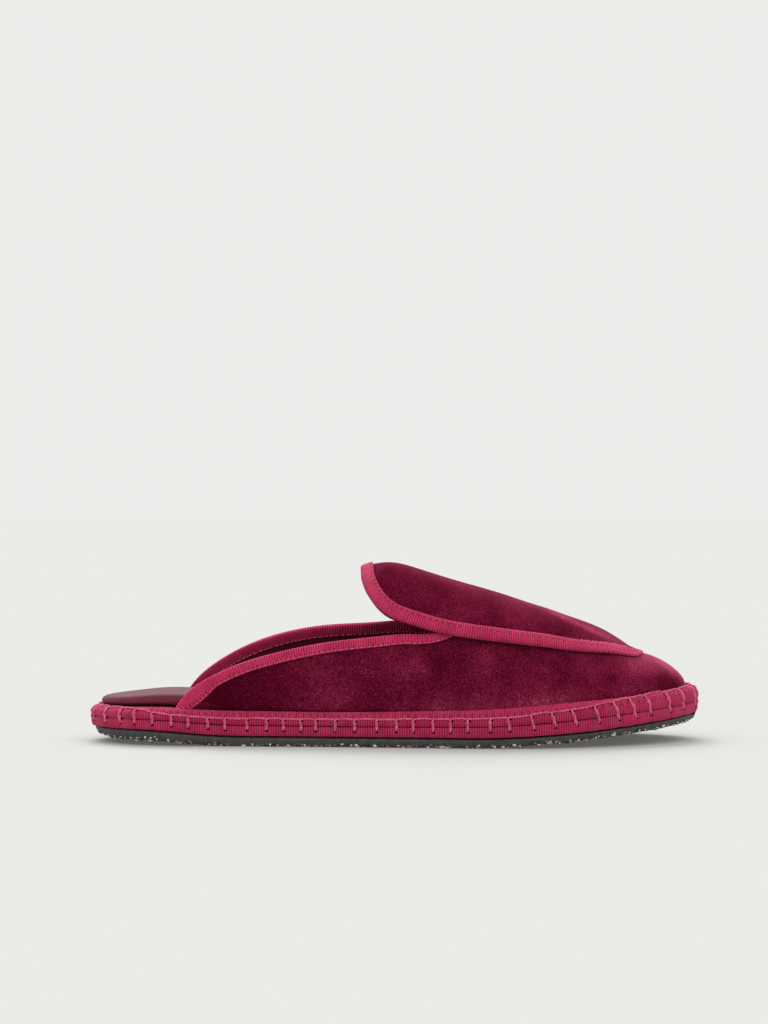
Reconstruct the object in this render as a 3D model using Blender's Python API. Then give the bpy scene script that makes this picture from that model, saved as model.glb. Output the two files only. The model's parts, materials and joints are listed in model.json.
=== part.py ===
"""Velvet mule slipper with a bound apron, a right shoe standing empty on its sole.

Metres, +Z up. +X runs from heel to toe and -Y is the outer side of the foot.
The origin is on the floor under the middle of the shoe's box.
"""

import math

import bpy
import numpy as np

# Driving sizes

LENGTH = 0.255  # heel to toe over the ribbon rim
HEEL_CAP = 0.036  # length of the outline's round heel end
TOE_CAP = 0.080  # length of the outline's round toe end
GAP = 0.0003  # clearance between pieces that touch
FOLD_GAP = 0.0004  # clearance between a folded ribbon and the sheet inside it
RIBBON = 0.0005  # thickness of the grosgrain ribbon
WALL = 0.0020  # velvet, padding and lining of the upper
APRON_WALL = 0.0014
FEATHER_INSET = 0.0049  # the upper's outer face, in from the rim's outer edge
LIP_INSET = 0.0045  # inner side of the rim's lip
FAN_START = 0.174  # station where the upper's meridians begin to fan round the toe
FAN_BEND = 4.12  # how fast they fan, per metre
TOPLINE_RIBBON_WIDTH = 0.0040
APRON_RIBBON_WIDTH = 0.0050
THROAT_SIDE = 0.130  # station where the collar turns up across the instep
THROAT_CENTRE = 0.165  # and where it crosses the crest
TONGUE_TIP, TONGUE_CAP, TONGUE_POWER = 0.1140, 0.020, 3.0  # the apron's free rear end
TONGUE_FLAT = 0.0004  # cut off its tip, which leaves a short straight edge
APRON_ROWS = 6
APRON_FRONT, APRON_FRONT_CAP, APRON_FRONT_POWER = 0.2310, 0.040, 2.0
QUARTER_END = 0.034  # rear end of the upper's sides

HEEL_LIFT, HEEL_LIFT_START, HEEL_LIFT_END = 0.0021, 0.062, 0.022
TOE_LIFT, TOE_LIFT_START, TOE_LIFT_BEND = 0.0084, 0.160, 1.35

RING_POINTS = 84
OUTER, INNER = -1, 1  # sides of the foot: the sign of Y


def table(names, *rows):
    """Rows of numbers as a dictionary of named columns."""
    return dict(zip(names.split(), np.array(rows, float).T))


# Stations are distances from the heel end.
SOLE_PLAN = table(
    "station centre half_width",
    (0.000, 0.0000, 0.0310),
    (0.045, -0.0010, 0.0320),
    (0.075, -0.0025, 0.0325),
    (0.105, -0.0040, 0.0335),
    (0.135, -0.0042, 0.0372),
    (0.160, -0.0025, 0.0420),
    (0.175, -0.0010, 0.0444),
    (0.190, 0.0005, 0.0452),
    (0.205, 0.0018, 0.0455),
    (0.220, 0.0030, 0.0452),
    (0.235, 0.0045, 0.0446),
    (0.255, 0.0060, 0.0440),
)
# Thickness of each layer, and how far the rim's lip stands above the rim's top.
LAYERS = table(
    "station rubber midsole rim lip",
    (0.000, 0.0044, 0.0043, 0.0044, 0.0000),
    (0.018, 0.0044, 0.0043, 0.0046, 0.0000),
    (0.034, 0.0043, 0.0044, 0.0051, 0.0001),
    (0.052, 0.0042, 0.0045, 0.0053, 0.0004),
    (0.105, 0.0041, 0.0043, 0.0053, 0.0006),
    (0.170, 0.0039, 0.0047, 0.0054, 0.0019),
    (0.194, 0.0034, 0.0052, 0.0054, 0.0022),
    (0.227, 0.0033, 0.0052, 0.0054, 0.0016),
    (0.255, 0.0034, 0.0047, 0.0054, 0.0016),
)
# The last over which the upper is pulled: its crest line and how full its sides are.
LAST = table(
    "station crest crest_side outer_fullness inner_fullness",
    (0.030, 0.0660, -0.0005, 2.4, 2.4),
    (0.060, 0.0665, -0.0010, 2.4, 2.4),
    (0.090, 0.0675, -0.0012, 2.3, 2.4),
    (0.114, 0.0690, -0.0012, 2.1, 2.2),
    (0.120, 0.0708, -0.0011, 2.1, 2.2),
    (0.126, 0.0714, -0.0010, 2.0, 2.1),
    (0.134, 0.0694, -0.0008, 2.0, 2.1),
    (0.146, 0.0655, -0.0003, 1.9, 2.0),
    (0.171, 0.0583, 0.0010, 1.9, 2.0),
    (0.197, 0.0505, 0.0026, 1.9, 2.0),
    (0.216, 0.0440, 0.0040, 2.0, 2.1),
    (0.222, 0.0405, 0.0044, 2.1, 2.2),
    (0.228, 0.0370, 0.0048, 2.2, 2.2),
    (0.234, 0.0361, 0.0051, 2.3, 2.3),
    (0.241, 0.0346, 0.0054, 2.4, 2.4),
    (0.255, 0.0300, 0.0060, 2.5, 2.5),
)
# Height of the velvet's collar edge above the floor, on each side.
COLLAR = table(
    "station outer inner",
    (0.034, 0.0172, 0.0174),
    (0.042, 0.0222, 0.0240),
    (0.051, 0.0271, 0.0306),
    (0.060, 0.0318, 0.0360),
    (0.070, 0.0351, 0.0405),
    (0.083, 0.0385, 0.0443),
    (0.100, 0.0418, 0.0470),
    (0.115, 0.0435, 0.0476),
    (0.130, 0.0453, 0.0488),
)
# Half-widths of the apron about the crest line, in the plan, before its round ends.
APRON_PLAN = table(
    "station outer inner",
    (0.114, 0.0258, 0.0225),
    (0.127, 0.0264, 0.0226),
    (0.138, 0.0282, 0.0233),
    (0.150, 0.0299, 0.0246),
    (0.162, 0.0312, 0.0263),
    (0.172, 0.0320, 0.0280),
    (0.182, 0.0316, 0.0289),
    (0.192, 0.0305, 0.0292),
    (0.205, 0.0300, 0.0295),
    (0.232, 0.0300, 0.0300),
)
INSOLE = table(
    "station inset thickness",
    (0.000, 0.0042, 0.0034),
    (0.010, 0.0047, 0.0038),
    (0.020, 0.0063, 0.0044),
    (0.032, 0.0084, 0.0053),
    (0.050, 0.0084, 0.0058),
    (0.064, 0.0076, 0.0058),
    (0.080, 0.0075, 0.0057),
    (0.120, 0.0075, 0.0052),
    (0.170, 0.0075, 0.0045),
    (0.255, 0.0078, 0.0040),
)


def smooth(rows, name, station):
    """Cubic curve through one column of a table, level with its end rows outside them."""
    at, values = rows["station"], rows[name]
    slopes = np.gradient(values, at)
    station = min(max(station, at[0]), at[-1])
    i = min(max(int(np.searchsorted(at, station)) - 1, 0), len(at) - 2)
    width = at[i + 1] - at[i]
    f = (station - at[i]) / width
    start = (1 + 2 * f) * (1 - f) ** 2 * values[i] + f * (1 - f) ** 2 * width * slopes[i]
    end = f * f * (3 - 2 * f) * values[i + 1] - f * f * (1 - f) * width * slopes[i + 1]
    return start + end


def ease(value, start, end):
    """0 before start, 1 after end, and a smooth step between them."""
    f = min(max((value - start) / (end - start), 0.0), 1.0)
    return f * f * (3 - 2 * f)


# Places round the shoe are given by a turn: -1 at the heel, along the outer side
# to 0 at the toe, and back along the inner side to 1 at the heel.


def side_of(turn):
    return OUTER if turn < 0 else INNER


def station_of(turn):
    return LENGTH * (1 - math.cos(math.pi * (1 - abs(turn)))) / 2


def turn_at(station, side):
    return side * (1 - math.acos(1 - 2 * station / LENGTH) / math.pi)


def round_end(distance, cap, power=2.0):
    """Share of the full width at a distance from a round end."""
    short = max(0.0, 1 - distance / cap)
    return max(0.0, 1 - short**power) ** (1 / power)


def outline(turn):
    station = station_of(turn)
    half = smooth(SOLE_PLAN, "half_width", station)
    half *= round_end(station, HEEL_CAP) * round_end(LENGTH - station, TOE_CAP)
    centre = smooth(SOLE_PLAN, "centre", station)
    return np.array([station - LENGTH / 2, centre + side_of(turn) * half])


def wrapped(turn):
    """The same place with its turn between -1 and 1."""
    return (turn + 1) % 2 - 1


def inward(turn):
    """Unit vector in the plan, square to the outline and pointing into the shoe."""
    step = 0.002
    along = outline(wrapped(turn + step)) - outline(wrapped(turn - step))
    along /= np.linalg.norm(along)
    return np.array([-along[1], along[0]])


def rim_edge(turn, inset):
    return outline(turn) + inset * inward(turn)


# Heights of the sole's layers


def floor_lift(station):
    heel = ease(station, HEEL_LIFT_START, HEEL_LIFT_END)
    toe = max(0.0, (station - TOE_LIFT_START) / (LENGTH - TOE_LIFT_START))
    return HEEL_LIFT * heel + TOE_LIFT * toe**TOE_LIFT_BEND


def rubber_top(station):
    return floor_lift(station) + smooth(LAYERS, "rubber", station)


def seam_height(station):
    return rubber_top(station) + smooth(LAYERS, "midsole", station)


def rim_top(station):
    return seam_height(station) + smooth(LAYERS, "rim", station)


def lip_top(station):
    return rim_top(station) + smooth(LAYERS, "lip", station)


# The last: a point on it is given by its turn and its rise, 0 at the feather line and 1 at the crest


def feather(turn):
    x, y = rim_edge(turn, FEATHER_INSET)
    return np.array([x, y, rim_top(x + LENGTH / 2) + GAP / 2])


def crest_place(turn):
    """Where the meridian of this turn meets the crest line, in the plan."""
    station = station_of(turn)
    station -= FAN_BEND * max(0.0, station - FAN_START) ** 2
    return np.array([station - LENGTH / 2, smooth(LAST, "crest_side", station)])


def fullness(turn):
    column = "outer_fullness" if turn < 0 else "inner_fullness"
    return smooth(LAST, column, station_of(turn))


def on_last(turn, rise):
    foot, top = feather(turn), crest_place(turn)
    angle = rise * math.pi / 2
    reach = 1 - math.cos(angle)
    height = max(0.0, math.sin(angle)) ** (2 / fullness(turn))
    x, y = foot[:2] + reach * (top - foot[:2])
    crest = smooth(LAST, "crest", x + LENGTH / 2)
    return np.array([x, y, foot[2] + (crest - foot[2]) * height])


def slopes_on_last(turn, rise):
    """Rates of change of the last's surface along the turn and along the rise."""
    step = 0.002
    if rise > 0.98 and abs(turn) < 0.01:
        turn = math.copysign(0.01, turn)
    low, high = max(0.002, rise - step), min(1.0, max(rise, 0.002) + step)
    by_turn = (on_last(turn + step, rise) - on_last(turn - step, rise)) / (2 * step)
    by_rise = (on_last(turn, high) - on_last(turn, low)) / (high - low)
    return by_turn, by_rise


def normal_on_last(turn, rise):
    by_turn, by_rise = slopes_on_last(turn, rise)
    normal = np.cross(by_turn, by_rise)
    return normal / np.linalg.norm(normal)


def above_last(turn, rise, lift):
    return on_last(turn, rise) + lift * normal_on_last(turn, rise)


def walk(turn, rise, heading, distance, lowest=0.01):
    """The turn and rise reached by walking on the last along a heading in space."""
    steps = 3
    for _ in range(steps):
        by_turn, by_rise = slopes_on_last(turn, rise)
        both = np.column_stack([by_turn, by_rise])
        change = np.linalg.lstsq(both, heading * distance / steps, rcond=None)[0]
        turn += change[0]
        rise = max(rise + change[1], lowest)
        if rise > 1:
            turn, rise = -turn, 2 - rise
    return turn, rise


def rise_at_height(turn, height):
    """The rise at which this turn's meridian stands at a height above the floor."""
    low, high = 0.0, 1.0
    for _ in range(40):
        middle = (low + high) / 2
        if on_last(turn, middle)[2] < height:
            low = middle
        else:
            high = middle
    return low


# Building meshes


def material(name, colour, roughness):
    made = bpy.data.materials.new(name)
    made.use_nodes = True
    shader = made.node_tree.nodes["Principled BSDF"]
    shader.inputs["Base Color"].default_value = (*colour, 1)
    shader.inputs["Roughness"].default_value = roughness
    shader.inputs["Metallic"].default_value = 0.0
    return made


def add_piece(name, points, faces, finish, sharp_degrees=40):
    mesh = bpy.data.meshes.new(name)
    mesh.from_pydata([tuple(p) for p in points], [], faces)
    mesh.materials.append(finish)
    mesh.validate()
    mesh.shade_smooth()
    mesh.set_sharp_from_angle(angle=math.radians(sharp_degrees))
    piece = bpy.data.objects.new(name, mesh)
    bpy.context.scene.collection.objects.link(piece)
    return piece


def add_slab(name, profile, finish):
    """A layer of the sole. Each row of the profile is (inset, height), functions of turn and station."""
    turns = [-1 + 2 * k / RING_POINTS for k in range(RING_POINTS)]
    points = []
    for inset, height in profile:
        for turn in turns:
            x, y = rim_edge(turn, inset(turn))
            points.append((x, y, height(x + LENGTH / 2)))
    count, toe = RING_POINTS, RING_POINTS // 2
    faces = []
    for row in range(len(profile) - 1):
        for k in range(count):
            low, high = row * count, (row + 1) * count
            after = (k + 1) % count
            faces.append((low + k, low + after, high + after, high + k))
    top = (len(profile) - 1) * count
    for k in range(1, toe - 1):
        faces.append((k, count - k, count - k - 1, k + 1))
        faces.append((top + k, top + k + 1, top + count - k - 1, top + count - k))
    faces.append((0, count - 1, 1))
    faces.append((toe, toe - 1, toe + 1))
    faces.append((top, top + 1, top + count - 1))
    faces.append((top + toe, top + toe + 1, top + toe - 1))
    return add_piece(name, points, faces, finish)


def add_sheet(name, turns, rises_from, rises_to, rows, crowding, top, wall, finish):
    """A sheet on the last between two edges. Its two sides join along the crest where they reach it.
    Crowding above 1 brings its rows closer together towards the upper edge."""
    places, faces, crest, grid = [], [], {}, []
    for turn in turns:
        low, high = rises_from(turn), rises_to(turn)
        column = []
        for k in range(rows + 1):
            rise = high - (high - low) * (1 - k / rows) ** crowding
            at_crest = rise > 0.9999
            key = round(abs(turn), 6)
            if at_crest and key in crest:
                column.append(crest[key])
                continue
            if at_crest:
                crest[key] = len(places)
            column.append(len(places))
            places.append((turn, rise))
        grid.append(column)

    for left, right in zip(grid, grid[1:]):
        for k in range(rows):
            corners = (left[k], right[k], right[k + 1], left[k + 1])
            faces.append(tuple(dict.fromkeys(corners)))
    faces = [face for face in faces if len(face) > 2]
    edges = {(face[k - 1], face[k]) for face in faces for k in range(len(face))}
    border = [edge for edge in edges if edge[::-1] not in edges]
    outside = [above_last(*place, top(station_of(place[0]))) for place in places]
    inside = [above_last(*place, top(station_of(place[0])) - wall) for place in places]
    under = len(places)
    closed = faces + [tuple(under + k for k in reversed(face)) for face in faces]
    closed += [(end, start, start + under, end + under) for start, end in sorted(border)]
    return add_piece(name, outside + inside, closed, finish)


def add_channel(name, edge, closed, into, width, base, wall, finish):
    """Ribbon folded over an edge on the last: a channel round a sheet.
    The sheet lies from base to base plus wall above the last. The edge is a list of (turn, rise),
    and into is 1 where the sheet lies above the edge and -1 where it lies below."""
    places = [on_last(*place) for place in edge]
    count = len(edge)
    outside, inside = [], []
    for k, (turn, rise) in enumerate(edge):
        before = places[k - 1] if closed or k > 0 else places[k]
        after = places[(k + 1) % count] if closed or k < count - 1 else places[k]
        along = (after - before) / np.linalg.norm(after - before)
        heading = into * np.cross(normal_on_last(turn, rise), along)
        heading /= np.linalg.norm(heading)
        low = base(station_of(turn))
        top = low + wall
        far = walk(turn, rise, heading, width)
        half = walk(turn, rise, heading, width / 2)
        near = walk(turn, rise, -heading, FOLD_GAP)
        rolled = walk(turn, rise, -heading, FOLD_GAP + RIBBON)
        outside.append([
            above_last(*far, top + FOLD_GAP + RIBBON),
            above_last(*half, top + FOLD_GAP + RIBBON),
            above_last(turn, rise, top + FOLD_GAP + RIBBON),
            above_last(*rolled, top),
            above_last(*rolled, low),
            above_last(turn, rise, low - FOLD_GAP - RIBBON),
            above_last(*half, low - FOLD_GAP - RIBBON),
            above_last(*far, low - FOLD_GAP - RIBBON),
        ])
        inside.append([
            above_last(*far, top + FOLD_GAP),
            above_last(*half, top + FOLD_GAP),
            above_last(turn, rise, top + FOLD_GAP),
            above_last(*near, top),
            above_last(*near, low),
            above_last(turn, rise, low - FOLD_GAP),
            above_last(*half, low - FOLD_GAP),
            above_last(*far, low - FOLD_GAP),
        ])
    rings = [out + back[::-1] for out, back in zip(outside, inside)]
    size, half_size = len(rings[0]), len(outside[0])
    points = [p for ring in rings for p in ring]
    faces = []
    for k in range(count if closed else count - 1):
        here, there = k * size, (k + 1) % count * size
        for j in range(size):
            after = (j + 1) % size
            faces.append((here + j, here + after, there + after, there + j)[::into])
    if not closed:
        last = (count - 1) * size
        for j in range(half_size - 1):
            opposite = size - 1 - j
            faces.append((j, opposite, opposite - 1, j + 1)[::into])
            faces.append((last + j, last + j + 1, last + opposite - 1, last + opposite)[::into])
    return add_piece(name, points, faces, finish)


# The sole


def end_bevel(turn, side, heel, toe):
    """An inset that grows from its value at the sides to its values at the heel and the toe."""
    facing = inward(turn)[0]
    return side + (max(0.0, facing) ** 2) * (heel - side) + (max(0.0, -facing) ** 2) * (toe - side)


def add_outsole(finish):
    def side_height(share):
        def height(station):
            return floor_lift(station) + share * (smooth(LAYERS, "rubber", station) - GAP / 2)
        return height

    profile = [
        (lambda turn: end_bevel(turn, 0.0022, 0.0065, 0.0042), side_height(0.0)),
        (lambda turn: end_bevel(turn, 0.0012, 0.0028, 0.0016), side_height(0.30)),
        (lambda turn: end_bevel(turn, 0.0008, 0.0012, 0.0005), side_height(1.0)),
    ]
    add_slab("outsole", profile, finish)


def add_midsole(finish):
    def height(share):
        def at(station):
            low, high = rubber_top(station) + GAP / 2, seam_height(station) - GAP / 2
            return low + share * (high - low)
        return at

    profile = [
        (lambda turn: 0.0006, height(0.0)),
        (lambda turn: 0.0001, height(0.3)),
        (lambda turn: 0.0001, height(0.8)),
        (lambda turn: 0.0007, height(1.0)),
    ]
    add_slab("midsole", profile, finish)


def add_rim(finish):
    def height(share):
        def at(station):
            low, high = seam_height(station) + GAP / 2, lip_top(station)
            return low + share * (high - low)
        return at

    def rim_face(station):
        return rim_top(station) - GAP / 2

    profile = [
        (lambda turn: 0.0007, height(0.0)),
        (lambda turn: 0.0000, height(0.16)),
        (lambda turn: 0.0000, height(0.50)),
        (lambda turn: 0.0008, height(0.74)),
        (lambda turn: 0.0024, height(0.92)),
        (lambda turn: 0.0038, lambda station: lip_top(station)),
        (lambda turn: LIP_INSET, rim_face),
    ]
    add_slab("rim", profile, finish)


def add_insole(finish):
    def inset(more):
        return lambda turn: smooth(INSOLE, "inset", station_of(turn)) + more

    def height(share):
        return lambda station: rim_top(station) + GAP / 2 + share * smooth(INSOLE, "thickness", station)

    profile = [
        (inset(0.0012), height(0.0)),
        (inset(0.0002), height(0.22)),
        (inset(0.0000), height(0.50)),
        (inset(0.0007), height(0.80)),
        (inset(0.0026), height(1.0)),
        (inset(0.0080), height(0.97)),
    ]
    add_slab("insole", profile, finish)


# The upper and its collar


def collar_rise(turn):
    """How far up the last the upper's velvet reaches."""
    station, side = station_of(turn), side_of(turn)
    if station >= THROAT_CENTRE - 1e-6:
        return 1.0
    column = "outer" if side == OUTER else "inner"
    height = smooth(COLLAR, column, min(station, THROAT_SIDE))
    at = turn if station <= THROAT_SIDE else turn_at(THROAT_SIDE, side)
    rise = rise_at_height(at, height)
    share = max(0.0, (station - THROAT_SIDE) / (THROAT_CENTRE - THROAT_SIDE))
    return 1 - (1 - rise) * math.sqrt(max(0.0, 1 - share * share))


def upper_turns():
    """Turns of the upper's meridians, from one rear end round the toe to the other."""
    quarter_rows, throat_rows, vamp_rows = 10, 9, 14
    stations = [QUARTER_END + (THROAT_SIDE - QUARTER_END) * k / quarter_rows for k in range(quarter_rows)]
    for k in range(throat_rows):
        share = math.sin(math.pi / 2 * k / throat_rows)
        stations.append(THROAT_SIDE + (THROAT_CENTRE - THROAT_SIDE) * share)
    turns = [turn_at(station, OUTER) for station in stations]
    first = turn_at(THROAT_CENTRE, OUTER)
    turns += [first * (1 - k / vamp_rows) for k in range(vamp_rows)]
    return turns + [0.0] + [-turn for turn in reversed(turns)]


def add_upper(finish):
    rows, crowding = 12, 1.35

    def feather_line(turn):
        return 0.0

    def top(station):
        return 0.0

    add_sheet("upper", upper_turns(), feather_line, collar_rise, rows, crowding, top, WALL, finish)


def add_topline_binding(finish):
    turns = [turn for turn in upper_turns() if collar_rise(turn) < 1]
    outer = [turn for turn in turns if turn < 0]
    inner = [turn for turn in turns if turn > 0]
    crossing = [(turn_at(THROAT_CENTRE, OUTER), 1.0)]
    edge = [(turn, collar_rise(turn)) for turn in outer] + crossing
    edge += [(turn, collar_rise(turn)) for turn in inner]
    width = TOPLINE_RIBBON_WIDTH
    add_channel("topline_binding", edge, False, -1, width, lambda station: -WALL, WALL, finish)


# The apron, which ends in the tongue


def apron_base(station):
    """How high above the velvet the apron's ribbon lies: over the collar's ribbon, then on the vamp."""
    clear = FOLD_GAP + RIBBON + GAP
    return clear + (FOLD_GAP - clear) * ease(station, THROAT_CENTRE + 0.004, THROAT_CENTRE + 0.022)


def apron_underside(station):
    return apron_base(station) + RIBBON + FOLD_GAP


def apron_half_width(station, side):
    column = "outer" if side == OUTER else "inner"
    tongue = round_end(station - TONGUE_TIP, TONGUE_CAP, TONGUE_POWER)
    front = round_end(APRON_FRONT - station, APRON_FRONT_CAP, APRON_FRONT_POWER)
    return smooth(APRON_PLAN, column, station) * tongue * front


def apron_rise(turn):
    """The rise at which this turn's meridian comes in under the apron."""
    low, high = 0.0, 1.0
    for _ in range(40):
        middle = (low + high) / 2
        x, y, _ = on_last(turn, middle)
        station = x + LENGTH / 2
        off_centre = abs(y - smooth(LAST, "crest_side", station))
        if off_centre < apron_half_width(station, side_of(turn)):
            high = middle
        else:
            low = middle
    return high


def apron_turns():
    tip_rows, side_rows, toe_rows = 7, 7, 15
    start, end = TONGUE_TIP + TONGUE_CAP, 0.190
    stations = []
    for k in range(tip_rows):
        share = (k / tip_rows) ** 1.8
        stations.append(TONGUE_TIP + TONGUE_FLAT + (TONGUE_CAP - TONGUE_FLAT) * share)
    stations += [start + (end - start) * k / side_rows for k in range(side_rows)]
    turns = [turn_at(station, OUTER) for station in stations]
    first = turn_at(end, OUTER)
    turns += [first * (1 - k / toe_rows) for k in range(toe_rows)]
    return turns + [0.0] + [-turn for turn in reversed(turns)]


def add_apron(finish):
    def top(station):
        return apron_underside(station) + APRON_WALL

    def crest(turn):
        return 1.0

    crowding = 1.0
    add_sheet("apron", apron_turns(), apron_rise, crest, APRON_ROWS, crowding, top, APRON_WALL, finish)


def add_apron_binding(finish):
    turns = apron_turns()
    tip, corner = turns[0], apron_rise(turns[0])
    across = [1 - (1 - corner) * k / APRON_ROWS for k in range(APRON_ROWS)]
    edge = [(tip, rise) for rise in across]
    edge += [(turn, apron_rise(turn)) for turn in turns]
    edge += [(-tip, rise) for rise in across[:0:-1]]
    add_channel("apron_binding", edge, True, 1, APRON_RIBBON_WIDTH, apron_underside, APRON_WALL, finish)


def main():
    for old in list(bpy.data.objects):
        bpy.data.objects.remove(old)
    velvet = material("velvet", (0.130, 0.007, 0.026), 0.85)
    grosgrain = material("grosgrain", (0.360, 0.030, 0.082), 0.70)
    rubber = material("rubber", (0.055, 0.054, 0.055), 0.65)
    footbed = material("footbed", (0.130, 0.035, 0.050), 0.45)
    add_outsole(rubber)
    add_midsole(grosgrain)
    add_rim(grosgrain)
    add_insole(footbed)
    add_upper(velvet)
    add_topline_binding(grosgrain)
    add_apron(velvet)
    add_apron_binding(grosgrain)


main()
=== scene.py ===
# %% [markdown]
# # A velvet mule slipper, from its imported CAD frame
# The shoe is a right mule. A velvet upper and a bound apron, whose rear end stands up
# as a tongue, sit on a sole of rubber and two bands of grosgrain ribbon, held by a
# blanket stitch. The CAD frame fixes every place and size. This lesson lays cloth,
# ribbon, thread and light over it.

import json
import math
import random

import bpy
import bmesh
import numpy as np
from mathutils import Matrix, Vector
from mathutils.bvhtree import BVHTree
from mathutils.kdtree import KDTree

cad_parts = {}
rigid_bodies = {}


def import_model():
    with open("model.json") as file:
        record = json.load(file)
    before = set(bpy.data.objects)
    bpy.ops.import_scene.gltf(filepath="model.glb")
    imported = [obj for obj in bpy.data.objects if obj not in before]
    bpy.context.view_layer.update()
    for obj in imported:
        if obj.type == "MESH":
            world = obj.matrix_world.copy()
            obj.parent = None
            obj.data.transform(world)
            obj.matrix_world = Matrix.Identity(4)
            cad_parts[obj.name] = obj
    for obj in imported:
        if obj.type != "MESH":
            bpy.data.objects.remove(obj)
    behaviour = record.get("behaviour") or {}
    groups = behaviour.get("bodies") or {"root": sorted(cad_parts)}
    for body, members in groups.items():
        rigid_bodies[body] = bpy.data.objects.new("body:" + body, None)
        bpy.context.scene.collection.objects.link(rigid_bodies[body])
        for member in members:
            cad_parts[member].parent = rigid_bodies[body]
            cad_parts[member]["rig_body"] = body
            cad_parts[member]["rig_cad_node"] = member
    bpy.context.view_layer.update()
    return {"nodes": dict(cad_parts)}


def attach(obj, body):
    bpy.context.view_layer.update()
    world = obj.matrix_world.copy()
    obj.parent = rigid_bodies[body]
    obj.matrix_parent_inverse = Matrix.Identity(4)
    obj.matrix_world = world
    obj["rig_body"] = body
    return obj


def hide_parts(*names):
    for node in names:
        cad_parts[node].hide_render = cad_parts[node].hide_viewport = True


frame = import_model()
MM = 0.001
HEEL_X = -0.1275

# %% [markdown]
# ## Camera
# The photograph is a product shot from the outer side, with the lens a little above the
# tongue and level with the floor. A long lens keeps the sides of the sole parallel. The
# distance could be found by trial, but the shoe's length is known and so is its length in
# the picture, and these two give it at once.

# %% Set the camera
CAMERA_AT = (-0.0048, -1.075, 0.0955)
LENS_MM = 90

bpy.ops.object.select_all(action="DESELECT")
bpy.ops.object.camera_add(location=CAMERA_AT, rotation=(math.pi / 2, 0, 0))
camera = bpy.context.object
camera.data.lens = LENS_MM
camera.data.sensor_width = 36
camera.data.clip_start = 0.01
bpy.context.scene.camera = camera
bpy.context.scene.view_settings.view_transform = "Standard"
print("camera", tuple(round(v, 4) for v in camera.location))

# %% [markdown]
# ## Floor and lamps
# The shoe stands on a light table: a pale sheet that glows a little from below, so that even
# the shadow under the sole stays light. A wide lamp from behind throws that shadow towards
# the camera, and a weaker one fills the side that the camera sees. Area lamps would do too,
# but a sun lights every place of the floor alike, so the floor keeps one even tone.

# %% Lay the floor
bpy.ops.object.select_all(action="DESELECT")
bpy.ops.mesh.primitive_plane_add(size=60, location=(0, 0, 0))
floor = bpy.context.object
floor.name = "studio_floor"

# %% Add the suns
def add_sun(name, tilt, heading, strength, spread):
    """A wide sun. Tilt is its angle from straight overhead and heading the side it comes from."""
    bpy.ops.object.select_all(action="DESELECT")
    bpy.ops.object.light_add(type="SUN", location=(0, 0, 1))
    sun = bpy.context.object
    sun.name = name
    sun.rotation_euler = (0, math.radians(tilt), math.radians(heading))
    sun.data.energy = strength
    sun.data.angle = math.radians(spread)
    print(name, "at", strength)


add_sun("rear_bank", tilt=42, heading=100, strength=2.50, spread=40)
add_sun("front_fill", tilt=60, heading=262, strength=0.20, spread=80)

# %% [markdown]
# ## Writing shader maths as plain sums
# A material here is a small graph of nodes. Each node could be added and linked by hand, as
# in the shader editor, but a pattern such as `0.5 + 0.5 * ribs` would then fill a page. So a
# tiny class wraps a socket and builds the Math nodes of such a sum by itself, and one method
# adds any other node.

# %% A socket that can be added and multiplied
class Value:
    """A socket of a finish, and what can be worked out from it."""

    def __init__(self, finish, socket):
        self.finish, self.socket = finish, socket

    def _with(self, operation, *others):
        """One Math node that starts from this socket."""
        return self.finish.node("ShaderNodeMath", {"operation": operation}, self, *others)

    def __add__(self, other):
        return self._with("ADD", other)

    def __sub__(self, other):
        return self._with("SUBTRACT", other)

    def __mul__(self, other):
        return self._with("MULTIPLY", other)

    def __truediv__(self, other):
        return self._with("DIVIDE", other)

    def __rsub__(self, other):
        return self.finish.node("ShaderNodeMath", {"operation": "SUBTRACT"}, other, self)

    __radd__ = __add__
    __rmul__ = __mul__

    def sine(self):
        return self._with("SINE")

    def fraction(self):
        return self._with("FRACT")

    def size(self):
        return self._with("ABSOLUTE")

    def above(self, low, high):
        """0 below low, 1 above high and a smooth step between."""
        settings = {"interpolation_type": "SMOOTHSTEP"}
        sockets = {"Value": self, "From Min": low, "From Max": high}
        return self.finish.node("ShaderNodeMapRange", settings, **sockets)


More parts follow.
